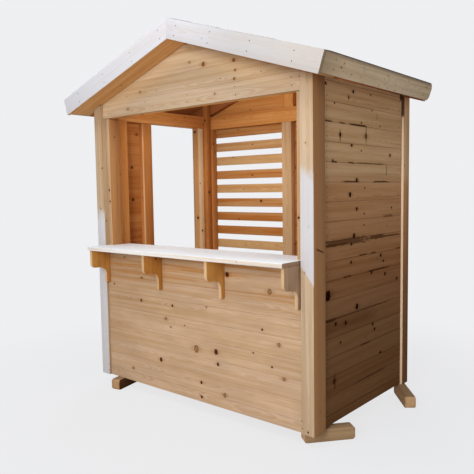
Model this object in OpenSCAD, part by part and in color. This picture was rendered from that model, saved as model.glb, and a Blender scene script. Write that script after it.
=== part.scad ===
// Wooden market hut: a boarded timber frame on four slanted feet, with a serving
// hatch and counter in front, a doorway on the left and a slatted panel at the back.
// Millimetres. X runs along the front, Y from front to back, Z up from the ground.

/* [Hut] */
// Width over the corner posts
hut_width = 1990; // [1700:5:2400]
// Depth over the corner posts
hut_depth = 1255; // [1150:5:1600]
// Height of the hatch and doorway heads above the ground
head_height = 2067; // [1900:1:2300]
// Height of the top plates over the heads, at their inner faces
plate_height = 106; // [90:1:160]
// Gap between the feet's tops and the side and back boards
side_gap = 8; // [5:1:60]

/* [Posts] */
// Width of a corner post, seen from the front
post_width = 90; // [75:1:120]
// Depth of a front corner post
front_post_depth = 125; // [100:1:160]
// Depth of a rear corner post
rear_post_depth = 90; // [75:1:120]
// How far the posts stand proud of the boards
post_proud = 18; // [10:1:25]

/* [Boards and frame] */
// Thickness of the wall boards and slats
board_thickness = 18; // [12:1:24]
// Width of a front stile beside the hatch
stile_width = 45; // [30:1:70]
// Depth of the rails and the header in the front wall
front_frame_depth = 50; // [35:1:80]
// Height of the sills on the feet
sill_height = 70; // [50:1:100]
// Height of the rail under the counter
counter_rail_height = 70; // [50:1:100]
// Height of the header over the hatch
header_height = 100; // [60:1:105]
// Width of the studs behind the front posts
front_stud_width = 120; // [80:1:150]
// Width of the stud at the back of the right wall
rear_stud_width = 90; // [60:1:120]

/* [Doorway] */
// Width of the boards in front of the doorway
left_front_width = 375; // [300:5:450]
// Width of the boards behind the doorway
left_rear_width = 115; // [100:5:200]
// Width of the front door jamb
front_jamb_width = 90; // [50:1:110]
// Width of the rear door jamb
rear_jamb_width = 65; // [40:1:100]

/* [Back wall] */
// Width of the outer stiles in the back wall
rear_stile_width = 70; // [50:1:100]
// Width of the middle stile in the back wall
mid_stile_width = 94; // [60:1:130]
// Distance of the middle stile left of the centre line
mid_stile_left = 17; // [0:1:120]
// Side of the square post inside the rear left corner
inner_post_side = 50; // [35:1:80]
// Height of the top rail in the back wall
top_rail_height = 116; // [80:1:140]
// Width of the king post under the ridge
king_post_width = 100; // [70:1:140]
// Height of one slat
slat_height = 74; // [50:1:100]
// Gap between two slats
slat_gap = 50; // [20:1:80]

/* [Counter] */
// Height of the counter's top
counter_top = 1103; // [950:1:1200]
// Thickness of the counter
counter_thickness = 27; // [20:1:40]
// Reach of the counter in front of the posts
counter_out = 170; // [155:1:260]
// Reach of the counter behind the face of the posts
counter_in = 200; // [130:1:300]
// Gap between the counter's ends and the posts
counter_end_gap = 6; // [1:1:15]
// Thickness of a counter bracket
bracket_thickness = 24; // [18:1:45]
// Height of a counter bracket
bracket_height = 258; // [230:1:320]
// Height of a bracket's head
bracket_head = 135; // [100:1:160]
// Width of a bracket's tail on the wall
bracket_tail = 36; // [25:1:50]
// Distance of a bracket's front edge behind the counter's edge
bracket_setback = 20; // [5:1:40]
// Radius of the round lower corner of a bracket's head
bracket_nose = 34; // [15:1:45]
// Radius of the hollow between a bracket's head and tail
bracket_cove = 60; // [30:1:65]

/* [Roof] */
// Slope of the roof in degrees
roof_pitch = 18.4; // [14:0.1:24]
// Reach of the roof past the posts at each side
eave_overhang = 168; // [100:1:250]
// Reach of the roof in front of the posts
roof_front = 151; // [100:1:165]
// Width of a barge board
barge_width = 124; // [110:1:140]
// Thickness of a barge board
barge_thickness = 22; // [18:1:30]
// Thickness of the roof and soffit boards
roof_board = 20; // [15:1:25]
// Height of an eave fascia
fascia_height = 116; // [80:1:120]
// Thickness of an eave fascia
fascia_thickness = 22; // [18:1:30]
// Radius of the rounded rear end of a fascia
fascia_round = 42; // [10:1:48]
// Thickness of the ridge beam
ridge_beam_width = 30; // [20:1:50]
// Thickness of the roofing felt
felt_thickness = 3; // [2:0.5:5]
// Drip edge of the felt past the fascia
felt_drip = 3; // [1:1:10]

/* [Feet] */
// Length of a foot
foot_length = 320; // [280:5:400]
// Width of a foot
foot_width = 75; // [60:1:100]
// Height of a foot
foot_height = 80; // [60:1:84]
// Angle of a foot to the front of the hut, in degrees
foot_angle = 51; // [40:1:60]
// Angle of the front left foot to the front of the hut, in degrees
left_foot_angle = 77; // [50:1:90]
// Radius of the rounded ends of a foot
foot_round = 20; // [10:1:28]
// Distance of the front right foot's middle in from the side of the post
front_foot_in = 29; // [10:1:80]
// Distance of the front right foot's middle behind the face of the post
front_foot_back = 196; // [110:1:230]
// Distance of the front left foot's middle in from the side of the post
left_foot_in = 192; // [150:1:240]
// Distance of the front left foot's middle behind the face of the post
left_foot_back = 101; // [60:1:140]
// Distance of a rear foot's middle out from the side of the post
rear_foot_out = 54; // [0:1:70]
// Distance of a rear foot's middle in front of the back of the post
rear_foot_forward = 169; // [120:1:190]

/* [Hidden] */
$fn = 48;

half_width = hut_width / 2;
post_in = half_width - post_width;
stile_in = post_in - stile_width;

// Side walls, measured outwards from the middle of the hut
side_face = half_width - post_proud;
side_back = side_face - board_thickness;

// Front wall, measured backwards from the face of the posts
front_face = post_proud;
front_back = front_face + board_thickness;
front_frame_back = front_back + front_frame_depth;

// Back wall, measured backwards from the face of the front posts
rear_frame = hut_depth - rear_post_depth;
rear_face = hut_depth - post_proud;
rear_back = rear_face - board_thickness;

side_base = foot_height + side_gap;
sill_top = foot_height + sill_height;
door_from = front_post_depth + left_front_width;
door_to = rear_frame - left_rear_width;
counter_under = counter_top - counter_thickness;
counter_half = post_in - counter_end_gap;

// Roof: u runs down the slope from the ridge, v is square to it and 0 at the top
top_rail_top = head_height + plate_height;
ridge_height = top_rail_top + post_in * tan(roof_pitch) + barge_width / cos(roof_pitch);
slope_length = (half_width + eave_overhang) / cos(roof_pitch);
fascia_back = slope_length - fascia_thickness;
barge_rear = rear_face + barge_thickness;
barge_back = barge_thickness - roof_front;
under_boards = -roof_board;
under_roof = -barge_width;
function slope_point(u, v) = [
    u * cos(roof_pitch) + v * sin(roof_pitch),
    ridge_height - u * sin(roof_pitch) + v * cos(roof_pitch)
];
function roof_z(x, v) = ridge_height + v / cos(roof_pitch) - abs(x) * tan(roof_pitch);

top_rail_under = top_rail_top - top_rail_height;
mid_stile_x = -mid_stile_left;

bracket_depth = counter_out + front_face - bracket_setback;
bracket_first = bracket_thickness / 2 - counter_half;
bracket_pitch = -2 * bracket_first / 3;

slat_pitch = slat_height + slat_gap;
slat_count = floor((top_rail_under - side_base + slat_gap) / slat_pitch);

// The middle of the whole hut from front to back lies at Y = 0
front_reach = max(counter_out, roof_front);
foot_reach = (foot_length * sin(foot_angle) + foot_width * cos(foot_angle)) / 2;
rear_reach = max(barge_rear, hut_depth - rear_foot_forward + foot_reach);
front_y = (front_reach - rear_reach) / 2;

spruce = "#cfa878";
warm_spruce = "#b9814c";
pale_spruce = "#e4dcd6";
felt_grey = "#4b4a48";

// Sets a piece that is measured from the face of the posts into its place
module placed() {
    translate([0, front_y, 0])
        children();
}

module on_left() {
    mirror([1, 0, 0])
        children();
}

// A squared timber between two opposite corners
module timber(from, to) {
    translate(from)
        cube(to - from);
}

// Extrudes an outline in X and Z from one Y to another
module along_y(from, to) {
    translate([0, to, 0])
        rotate([90, 0, 0])
            linear_extrude(to - from)
                children();
}

// Extrudes an outline in Y and Z from one X to another
module along_x(from, to) {
    translate([from, 0, 0])
        rotate([90, 0, 90])
            linear_extrude(to - from)
                children();
}

// Upright outline between two X values, cut at the roof plane at v
module up_to_slope(x_from, x_to, z_from, v) {
    polygon([
        [x_from, z_from], [x_to, z_from],
        [x_to, roof_z(x_to, v)], [x_from, roof_z(x_from, v)]
    ]);
}

module up_to_soffit(x_from, x_to, z_from) {
    up_to_slope(x_from, x_to, z_from, under_roof);
}

// Outline with a peak that runs from z_from to the roof plane at v
module gable_outline(half, z_from, v) {
    polygon([
        [-half, z_from], [half, z_from],
        [half, roof_z(half, v)], [0, roof_z(0, v)], [-half, roof_z(half, v)]
    ]);
}

// Board along the right slope, with a plumb cut at x_start
module slope_outline(x_start, u_end, v_top, v_under) {
    polygon([
        [x_start, roof_z(x_start, v_top)], slope_point(u_end, v_top),
        slope_point(u_end, v_under), [x_start, roof_z(x_start, v_under)]
    ]);
}

module rounded_outline(length, height, radius) {
    translate([radius, 0])
        square([length - 2 * radius, height]);
    translate([0, radius])
        square([length, height - 2 * radius]);
    for (u = [radius, length - radius])
        for (v = [radius, height - radius])
            translate([u, v])
                circle(r = radius);
}

module foot_beam(x, y, angle) {
    color(spruce)
        translate([x, y, 0])
            rotate([0, 0, angle])
                translate([-foot_length / 2, foot_width / 2, 0])
                    rotate([90, 0, 0])
                        linear_extrude(foot_width)
                            rounded_outline(foot_length, foot_height, foot_round);
}

module front_right_foot() {
    placed()
        foot_beam(half_width - front_foot_in, front_foot_back, foot_angle);
}

// The front left foot lies beside its post, under the front sill
module front_left_foot() {
    placed()
        on_left()
            foot_beam(half_width - left_foot_in, left_foot_back, left_foot_angle);
}

module rear_foot() {
    placed()
        foot_beam(half_width + rear_foot_out, hut_depth - rear_foot_forward, -foot_angle);
}

module rear_right_foot() rear_foot();
module rear_left_foot() on_left() rear_foot();

module corner_post(y_from, y_to) {
    color(spruce)
        placed()
            along_y(y_from, y_to)
                up_to_soffit(post_in, half_width, foot_height);
}

module front_right_post() corner_post(0, front_post_depth);
module front_left_post() on_left() front_right_post();
module rear_right_post() corner_post(rear_frame, hut_depth);
module rear_left_post() on_left() rear_right_post();

module front_sill() {
    color(warm_spruce)
        placed()
            timber([-post_in, front_back, foot_height], [post_in, front_frame_back, sill_top]);
}

module front_stile() {
    color(spruce)
        placed()
            along_y(front_back, front_post_depth)
                up_to_soffit(stile_in, post_in, sill_top);
}

module front_right_stile() front_stile();
module front_left_stile() on_left() front_stile();

module front_counter_rail() {
    color(warm_spruce)
        placed()
            timber([-stile_in, front_back, counter_under - counter_rail_height],
                   [stile_in, front_frame_back, counter_under]);
}

module front_header() {
    color(warm_spruce)
        placed()
            timber([-stile_in, front_back, head_height],
                   [stile_in, front_frame_back, head_height + header_height]);
}

module front_boards() {
    color(spruce)
        placed()
            timber([-post_in, front_face, foot_height], [post_in, front_back, counter_under]);
}

module front_gable() {
    color(spruce)
        placed()
            along_y(front_face, front_back)
                gable_outline(post_in, head_height, under_roof);
}

// The counter lies between the posts in front and between the stiles inside
module counter() {
    color(pale_spruce)
        placed()
            translate([0, 0, counter_under])
                linear_extrude(counter_thickness)
                    polygon([
                        [-counter_half, -counter_out], [counter_half, -counter_out],
                        [counter_half, front_back], [stile_in, front_back],
                        [stile_in, counter_in], [-stile_in, counter_in],
                        [-stile_in, front_back], [-counter_half, front_back]
                    ]);
}

// Ogee bracket outline: u out from the wall, heights down from the counter
module bracket_outline() {
    translate([0, -bracket_head + bracket_nose])
        square([bracket_depth, bracket_head - bracket_nose]);
    translate([0, -bracket_head])
        square([bracket_depth - bracket_nose, bracket_head]);
    translate([bracket_depth - bracket_nose, -bracket_head + bracket_nose])
        circle(r = bracket_nose);
    translate([0, -bracket_height])
        square([bracket_tail, bracket_height]);
    difference() {
        translate([0, -bracket_head - bracket_cove])
            square([bracket_tail + bracket_cove, bracket_cove]);
        translate([bracket_tail + bracket_cove, -bracket_head - bracket_cove])
            circle(r = bracket_cove);
    }
}

module bracket(place) {
    x = bracket_first + place * bracket_pitch;
    color(warm_spruce)
        placed()
            translate([0, front_face, counter_under])
                along_x(x - bracket_thickness / 2, x + bracket_thickness / 2)
                    mirror([1, 0])
                        bracket_outline();
}

module far_left_bracket() bracket(0);
module mid_left_bracket() bracket(1);
module mid_right_bracket() bracket(2);
module far_right_bracket() bracket(3);

module side_sill() {
    color(warm_spruce)
        placed()
            timber([post_in, front_post_depth, foot_height], [side_back, rear_frame, sill_top]);
}

module side_upright(y_from, y_to) {
    color(warm_spruce)
        placed()
            timber([post_in, y_from, sill_top], [side_back, y_to, head_height]);
}

module side_plate() {
    color(warm_spruce)
        placed()
            along_y(front_post_depth, rear_frame)
                up_to_soffit(post_in, side_back, head_height);
}

module side_boards(y_from, y_to, z_from) {
    color(spruce)
        placed()
            along_y(y_from, y_to)
                up_to_soffit(side_back, side_face, z_from);
}

module right_sill() side_sill();
module right_front_stud() side_upright(front_post_depth, front_post_depth + front_stud_width);
module right_rear_stud() side_upright(rear_frame - rear_stud_width, rear_frame);
module right_plate() side_plate();
module right_boards() side_boards(front_post_depth, rear_frame, side_base);

module left_sill() on_left() side_sill();
module left_front_stud() on_left() right_front_stud();
module door_front_jamb() on_left() side_upright(door_from - front_jamb_width, door_from);
module door_rear_jamb() on_left() side_upright(door_to, door_to + rear_jamb_width);
module left_plate() on_left() side_plate();
module left_front_boards() on_left() side_boards(front_post_depth, door_from, side_base);
module left_rear_boards() on_left() side_boards(door_to, rear_frame, side_base);
module left_head_boards() on_left() side_boards(door_from, door_to, head_height);

module rear_sill() {
    color(warm_spruce)
        placed()
            timber([-post_in, rear_frame, foot_height], [post_in, rear_back, sill_top]);
}

module rear_stile(x_from, width) {
    color(warm_spruce)
        placed()
            timber([x_from, rear_frame, sill_top],
                   [x_from + width, rear_back, top_rail_under]);
}

module rear_left_stile() rear_stile(-post_in, rear_stile_width);
module rear_mid_stile() rear_stile(mid_stile_x - mid_stile_width / 2, mid_stile_width);
module rear_right_stile() rear_stile(post_in - rear_stile_width, rear_stile_width);

// Post in the corner of the room, from the feet of the sills up to the roof boards
module rear_left_inner_post() {
    color(warm_spruce)
        placed()
            on_left()
                along_y(rear_frame - inner_post_side, rear_frame)
                    up_to_slope(post_in - inner_post_side, post_in, foot_height, under_boards);
}

module rear_top_rail() {
    color(warm_spruce)
        placed()
            timber([-post_in, rear_frame, top_rail_under], [post_in, rear_back, top_rail_top]);
}

module king_post() {
    color(warm_spruce)
        placed()
            along_y(rear_frame, rear_back)
                gable_outline(king_post_width / 2, top_rail_top, under_roof);
}

// Slats hang from the top rail down, nailed to the left and middle stiles
module rear_slats() {
    color(warm_spruce)
        placed()
            for (i = [0 : slat_count - 1])
                translate([0, 0, top_rail_under - slat_height - i * slat_pitch])
                    timber([-post_in, rear_back, 0], [mid_stile_x, rear_face, slat_height]);
}

module rear_boards() {
    color(spruce)
        placed()
            timber([mid_stile_x, rear_back, side_base], [post_in, rear_face, top_rail_under]);
}

module rear_gable() {
    color(spruce)
        placed()
            along_y(rear_back, rear_face)
                gable_outline(post_in, top_rail_under, under_boards);
}

module ridge_beam() {
    beam_half = ridge_beam_width / 2;
    color(warm_spruce)
        placed()
            along_y(barge_back, rear_back)
                gable_outline(beam_half, roof_z(0, under_roof + roof_board), under_boards);
}

module rafter(y_from, y_to) {
    color(warm_spruce)
        placed()
            along_y(y_from, y_to)
                slope_outline(ridge_beam_width / 2, fascia_back, under_boards, under_roof);
}

module front_right_rafter() rafter(front_back, front_frame_back);
module front_left_rafter() on_left() front_right_rafter();
module rear_right_rafter() rafter(rear_frame, rear_back);
module rear_left_rafter() on_left() rear_right_rafter();

// Boards that close the front overhang from below
module right_soffit() {
    color(warm_spruce)
        placed()
            along_y(barge_back, front_back)
                slope_outline(0, fascia_back, under_roof + roof_board, under_roof);
}

module left_soffit() on_left() right_soffit();

module right_roof() {
    color(spruce)
        placed()
            along_y(barge_back, rear_face)
                slope_outline(0, fascia_back, 0, under_boards);
}

module left_roof() on_left() right_roof();

// One sheet of felt folded over the ridge, between the barge boards
module roof_felt() {
    color(felt_grey)
        placed()
            along_y(barge_back, rear_face)
                for (side = [0, 1])
                    mirror([side, 0])
                        slope_outline(0, slope_length + felt_drip, felt_thickness, 0);
}

module barge(y_from, y_to, u_end) {
    color(pale_spruce)
        placed()
            along_y(y_from, y_to)
                slope_outline(0, u_end, 0, under_roof);
}

// The front barge boards cover the ends of the fascias, the rear ones lie between them
module front_right_barge() barge(-roof_front, barge_back, slope_length);
module front_left_barge() on_left() front_right_barge();
module rear_right_barge() barge(rear_face, barge_rear, fascia_back);
module rear_left_barge() on_left() rear_right_barge();

// Outline of a fascia from its front end to its rounded rear end
module fascia_outline() {
    length = barge_rear - barge_back;
    translate([barge_back, -fascia_height])
        square([length - fascia_round, fascia_height]);
    translate([barge_back, fascia_round - fascia_height])
        square([length, fascia_height - 2 * fascia_round]);
    for (v = [-fascia_round, fascia_round - fascia_height])
        translate([barge_rear - fascia_round, v])
            circle(r = fascia_round);
}

module right_fascia() {
    color(warm_spruce)
        placed()
            translate([0, 0, ridge_height])
                rotate([0, roof_pitch, 0])
                    along_x(fascia_back, slope_length)
                        fascia_outline();
}

module left_fascia() on_left() right_fascia();

front_left_foot();
front_right_foot();
rear_left_foot();
rear_right_foot();
front_left_post();
front_right_post();
rear_left_post();
rear_right_post();
front_sill();
front_left_stile();
front_right_stile();
front_counter_rail();
front_header();
front_boards();
front_gable();
counter();
far_left_bracket();
mid_left_bracket();
mid_right_bracket();
far_right_bracket();
right_sill();
right_front_stud();
right_rear_stud();
right_plate();
right_boards();
left_sill();
left_front_stud();
door_front_jamb();
door_rear_jamb();
left_plate();
left_front_boards();
left_rear_boards();
left_head_boards();
rear_sill();
rear_left_inner_post();
rear_left_stile();
rear_mid_stile();
rear_right_stile();
rear_top_rail();
king_post();
rear_slats();
rear_boards();
rear_gable();
ridge_beam();
front_left_rafter();
front_right_rafter();
rear_left_rafter();
rear_right_rafter();
left_soffit();
right_soffit();
left_roof();
right_roof();
roof_felt();
front_left_barge();
front_right_barge();
rear_left_barge();
rear_right_barge();
left_fascia();
right_fascia();
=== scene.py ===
# %% [markdown]
# # A wooden market hut, board by board
# The hut is a timber frame closed with tongue and groove boards, with a serving hatch, a
# counter on four shaped brackets and a low gabled roof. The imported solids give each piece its
# size and place. They are plain blocks, so this lesson lays the single boards, softens the
# edges of the timbers, drives the nails and gives the wood its grain. The solids are loaded
# first, because every later step measures from them.

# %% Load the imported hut
import math
import random

import bmesh
import bpy
import numpy as np
from mathutils import Matrix, Vector


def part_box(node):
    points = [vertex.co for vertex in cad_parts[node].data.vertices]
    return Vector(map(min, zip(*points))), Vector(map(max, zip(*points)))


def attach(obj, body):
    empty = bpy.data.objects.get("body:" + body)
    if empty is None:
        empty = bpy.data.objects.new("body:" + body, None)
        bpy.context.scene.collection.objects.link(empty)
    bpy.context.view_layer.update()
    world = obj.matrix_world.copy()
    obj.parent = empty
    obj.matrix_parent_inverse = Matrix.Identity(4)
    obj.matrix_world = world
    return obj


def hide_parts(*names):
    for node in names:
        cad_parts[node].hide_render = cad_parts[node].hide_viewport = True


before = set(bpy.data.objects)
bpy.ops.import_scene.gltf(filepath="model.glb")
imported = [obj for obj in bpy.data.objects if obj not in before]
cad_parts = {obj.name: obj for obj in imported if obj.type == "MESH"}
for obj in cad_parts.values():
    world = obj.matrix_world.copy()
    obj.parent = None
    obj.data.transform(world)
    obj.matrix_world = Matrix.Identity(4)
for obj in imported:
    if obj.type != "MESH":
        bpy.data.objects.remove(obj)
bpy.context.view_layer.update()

# %% [markdown]
# ## The camera
# A hut looks right only from the place the photograph was taken: near its right front corner,
# at eye height, with a normal lens. The camera could be aimed with a constraint, but its place,
# heading, dip and small roll were found by fitting the corners of the frame, so they are set
# as they are, through the three directions of the camera's own axes.

# %% Stand the camera
eye = Vector((2.7745, -3.2888, 1.5135))
heading, dip, roll = (math.radians(angle) for angle in (40.483, 4.653, -0.885))
ahead = Vector((-math.sin(heading) * math.cos(dip), math.cos(heading) * math.cos(dip), -math.sin(dip)))
level = Vector((math.cos(heading), math.sin(heading), 0.0))
upright = level.cross(ahead)
to_right = level * math.cos(roll) + upright * math.sin(roll)
to_top = upright * math.cos(roll) - level * math.sin(roll)

camera = bpy.data.objects.new("photo_camera", bpy.data.cameras.new("photo_camera"))
camera.data.lens, camera.data.sensor_width = 44.165, 36.0
camera.matrix_world = Matrix.Translation(eye) @ Matrix((to_right, to_top, -ahead)).transposed().to_4x4()
bpy.context.scene.collection.objects.link(camera)
bpy.context.scene.camera = camera
print("camera at", [round(v, 3) for v in eye])

# %% [markdown]
# ## Small tools for node trees
# Shaders and Geometry Nodes are both trees of nodes. Written out in full, each node takes a
# line to add, one for each option and one for each link. Four helpers shorten that: one adds
# a node with its options and inputs, one does a step of arithmetic, one multiplies, and one
# fades a value smoothly between two limits. An input is either a plain value or another
# node's output.

# %% Helpers for nodes
def put(tree, kind, options=None, inputs=None):
    """Adds a node, sets its options and fills its inputs."""
    node = tree.nodes.new(kind)
    for name, value in (options or {}).items():
        setattr(node, name, value)
    for name, value in (inputs or {}).items():
        if isinstance(value, bpy.types.NodeSocket):
            tree.links.new(value, node.inputs[name])
        else:
            node.inputs[name].default_value = value
    return node


def sum_of(tree, operation, *values):
    """The result of one step of arithmetic."""
    return put(tree, "ShaderNodeMath", {"operation": operation}, dict(enumerate(values))).outputs[0]


def product(tree, *values):
    """All values multiplied."""
    result = values[0]
    for value in values[1:]:
        result = sum_of(tree, "MULTIPLY", result, value)
    return result


def fade(tree, value, start, end, low=0.0, high=1.0):
    """Low at the start and high at the end, with a smooth passage between."""
    limits = {"Value": value, "From Min": start, "From Max": end, "To Min": low, "To Max": high}
    return put(tree, "ShaderNodeMapRange", {"interpolation_type": "SMOOTHSTEP"}, limits).outputs["Result"]


# %% [markdown]
# ## Studio light
# Wood is judged by its colour, so the light is plain and soft: one large lamp in front and a
# little to the right, low enough to reach in through the hatch, a small one high above the
# counter, weaker ones behind and at the right, a strip behind the header for the room, and
# the pale world around. The lamp in front only grazes the right wall, so that wall stands in
# half shade, as in the photograph. A brighter world would give a white background, but it
# would wash out the wood. Instead the camera sees its own white, chosen by the Light Path.

# %% World and lamps
BACKDROP = (0.862, 0.866, 0.880, 1.0)

def seen_rays(tree):
    """One for the rays that come from the camera, straight, by a mirror or through glass."""
    path = put(tree, "ShaderNodeLightPath").outputs
    seen = sum_of(tree, "MAXIMUM", path["Is Camera Ray"], path["Is Glossy Ray"])
    return sum_of(tree, "MAXIMUM", seen, path["Is Transmission Ray"])


world = bpy.data.worlds.new("studio")
bpy.context.scene.world = world
world.use_nodes = True
tree = world.node_tree
tree.nodes.clear()
glow = put(tree, "ShaderNodeBackground", inputs={"Color": (0.98, 0.99, 1.0, 1.0), "Strength": 0.40})
white = put(tree, "ShaderNodeBackground", inputs={"Color": BACKDROP, "Strength": 1.0})
both = put(tree, "ShaderNodeMixShader", inputs={0: seen_rays(tree), 1: glow.outputs[0], 2: white.outputs[0]})
put(tree, "ShaderNodeOutputWorld", inputs={"Surface": both.outputs[0]})


def softbox(name, place, target, size, watts, tint, depth=None):
    """An oval lamp that the camera doesn't see, aimed at a target."""
    lamp = bpy.data.lights.new(name, "AREA")
    lamp.shape, lamp.size, lamp.energy, lamp.color = "ELLIPSE", size, watts, tint
    lamp.size_y = depth or size
    stand = bpy.data.objects.new(name, lamp)
    stand.visible_camera = False
    aim = (Vector(target) - Vector(place)).to_track_quat("-Z", "Y")
    stand.matrix_world = Matrix.Translation(place) @ aim.to_matrix().to_4x4()
    bpy.context.scene.collection.objects.link(stand)


softbox("key_softbox", (2.1, -6.3, 3.0), (0.0, 0.0, 1.4), size=2.8, watts=246, tint=(1.0, 0.985, 0.96))
softbox("high_softbox", (0.2, -3.0, 5.1), (0.0, -0.6, 1.1), size=1.8, watts=72, tint=(0.91, 0.97, 1.0))
softbox("rear_softbox", (-3.4, 4.6, 3.4), (0.0, 0.0, 1.2), size=3.5, watts=130, tint=(1.0, 0.99, 0.97))
softbox("side_softbox", (5.6, -0.6, 0.9), (1.0, 0.1, 1.7), size=2.4, watts=9, tint=(1.0, 0.98, 0.95))
softbox("room_softbox", (0.0, -0.40, 2.14), (0.0, 0.60, 1.74), size=1.3, watts=5.8, tint=(1.0, 0.97, 0.93),
        depth=0.12)
bpy.context.scene.view_settings.view_transform = "Standard"

# %% [markdown]
# ## Floor
# The hut stands on a plain pale floor that keeps a faint shadow round the feet. A white plane
# would end in a grey horizon. So the camera sees mostly a white glow in the floor, and further
# out only that glow, in exactly the colour of the world, and the edge disappears.

# %% Floor
FLOOR_RADIUS = 40.0


def open_material(name):
    """A material with an empty tree."""
    made = bpy.data.materials.new(name)
    made.use_nodes = True
    made.node_tree.nodes.clear()
    return made, made.node_tree


def object_place(tree):
    """Where a point lies, in the hut's own measure."""
    return put(tree, "ShaderNodeTexCoord").outputs["Object"]


def floor_finish():
    made, tree = open_material("studio_floor")
    away = put(tree, "ShaderNodeVectorMath", {"operation": "LENGTH"}, {0: object_place(tree)})
    share = product(tree, seen_rays(tree), fade(tree, away.outputs["Value"], 1.2, 3.4, 0.84, 1.0))
    matt = put(tree, "ShaderNodeBsdfDiffuse", inputs={"Color": (0.74, 0.74, 0.75, 1.0)})
    white = put(tree, "ShaderNodeEmission", inputs={"Color": BACKDROP, "Strength": 1.0})
    both = put(tree, "ShaderNodeMixShader", inputs={0: share, 1: matt.outputs[0], 2: white.outputs[0]})
    put(tree, "ShaderNodeOutputMaterial", inputs={"Surface": both.outputs[0]})
    return made


disc = bmesh.new()
bmesh.ops.create_circle(disc, cap_ends=True, segments=96, radius=FLOOR_RADIUS)
floor_mesh = bpy.data.meshes.new("studio_floor")
disc.to_mesh(floor_mesh)
disc.free()
floor = bpy.data.objects.new("studio_floor", floor_mesh)
floor.data.materials.append(floor_finish())
bpy.context.scene.collection.objects.link(floor)
print("floor radius:", FLOOR_RADIUS)

# %% [markdown]
# ## How a board remembers the log
# Every board is sawn from another place in another tree. If one pattern ran through the whole
# wall, the grain would cross the joints and give the trick away. So each board carries its own
# coordinates as attributes of its mesh: how far a point lies along the grain and from the
# heart of the log, where the knots of that face are, and a number for its own shade. The
# shaders then read those, and nothing slides when the hut is moved.

# %% Read a mesh and write to it
def islands(mesh):
    """A number for each vertex: the loose board that it belongs to."""
    parent = list(range(len(mesh.vertices)))

    def root(i):
        while parent[i] != i:
            parent[i] = parent[parent[i]]
            i = parent[i]
        return i

    for edge in mesh.edges:
        a, b = (root(v) for v in edge.vertices)
        parent[max(a, b)] = min(a, b)
    return np.array([root(i) for i in range(len(parent))])


def read(items, name, width, kind=np.float32):
    """One property of all items of a mesh, as an array."""
    flat = np.empty(len(items) * width, kind)
    items.foreach_get(name, flat)
    return flat.reshape(-1, width) if width > 1 else flat


def write(mesh, name, domain, vectors):
    """A new attribute of a mesh: one vector for each point, face or corner."""
    layer = mesh.attributes.new(name, "FLOAT_VECTOR", domain)
    layer.data.foreach_set("vector", vectors.astype(np.float32).ravel())


# %% Lay the grain
KNOT_LAYERS = ("knot_a", "knot_b", "knot_c", "knot_d")
SMALLEST_KNOT = 0.0035
THICKEST_BOARD = 0.04


def some_knots(rng, length, width, per_metre, largest):
    """A few knots scattered on one face: (along, across, radius), below zero for a live one."""
    wanted = min(len(KNOT_LAYERS), int(length * per_metre * rng.uniform(0.3, 1.5) + rng.random()))
    found = []
    for _ in range(wanted):
        radius = SMALLEST_KNOT + (largest - SMALLEST_KNOT) * rng.random() ** 2.6
        spot = (rng.uniform(0.02, max(0.03, length - 0.02)), rng.uniform(0.1, 0.9) * width)
        if all(abs(spot[0] - other[0]) > 0.05 for other in found):
            found.append((*spot, radius if rng.random() < 0.6 else -radius))
    return found


def lay_grain(piece, along, across, marks=None, per_metre=1.6, largest=0.011, shades=None):
    """Writes the grain, the shade and the knots of every board of a piece, and counts the boards.

    marks are knots with a place of their own, along and across the boards. Without them, knots
    are scattered.
    """
    mesh = piece.data
    axes = np.array([along, across, Vector(along).cross(Vector(across))], float)
    place = read(mesh.vertices, "co", 3) @ axes.T
    owner = islands(mesh)
    corner_vertex = read(mesh.loops, "vertex_index", 1, np.int32)
    start = read(mesh.polygons, "loop_start", 1, np.int32)
    total = read(mesh.polygons, "loop_total", 1, np.int32)
    corner_face = np.repeat(np.arange(len(total)), total)
    tilt = read(mesh.polygons, "normal", 3) @ axes.T
    side = np.abs(tilt).argmax(1)
    face_owner = owner[corner_vertex[start]]

    shift, board = np.zeros_like(place), np.zeros((len(total), 3))
    knots = np.zeros((len(KNOT_LAYERS), len(total), 3))
    order = sorted(set(owner), key=lambda i: tuple(place[owner == i].min(0)[[1, 0]]))
    for number, one in enumerate(order):
        rng = random.Random(f"{piece.name} {number}")
        mine, faces = owner == one, face_owner == one
        low, high = place[mine].min(0), place[mine].max(0)
        size = high - low
        place[mine] -= low
        # Each board starts elsewhere along the log and lies at its own distance from the heart.
        shift[mine] = rng.uniform(0, 40), rng.uniform(-0.75, -0.25) * size[1], rng.uniform(0.012, 0.075)
        shade = rng.random()
        board[faces, 0] = shades[number % len(shades)] if shades else shade
        through = some_knots(rng, size[0], size[1], per_metre, largest)
        if marks is not None:
            inside = [m for m in marks if low[0] <= m[0] <= high[0] and low[1] <= m[1] < high[1]]
            through = [(m[0] - low[0], m[1] - low[1], m[2]) for m in inside][: len(KNOT_LAYERS)]
        # A knot goes through a board. On a thick timber, each face has knots of its own.
        for axis, sign in ((2, 1), (2, -1), (1, 1), (1, -1)):
            there = faces & (side == axis) & (np.sign(tilt[:, axis]) == sign)
            if size[2] > THICKEST_BOARD:
                through = some_knots(rng, size[0], size[3 - axis], per_metre, largest)
            elif axis == 1:
                through = []
            for k, knot in enumerate(through):
                knots[k, there] = knot
    board[:, 1] = side == 0

    spot = place[corner_vertex]
    on_broad, on_end = (side == 2)[corner_face, None], (side == 0)[corner_face, None]
    flat = np.where(on_broad, spot[:, [0, 1]], spot[:, [0, 2]])
    flat = np.where(on_end, spot[:, [1, 2]], flat)
    mesh.uv_layers.new(name="face").uv.foreach_set("vector", flat.astype(np.float32).ravel())
    write(mesh, "grain", "CORNER", (place + shift)[corner_vertex])
    write(mesh, "board", "FACE", board)
    for layer, faces in zip(KNOT_LAYERS, knots):
        write(mesh, layer, "FACE", faces)
    return len(order)


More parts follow.
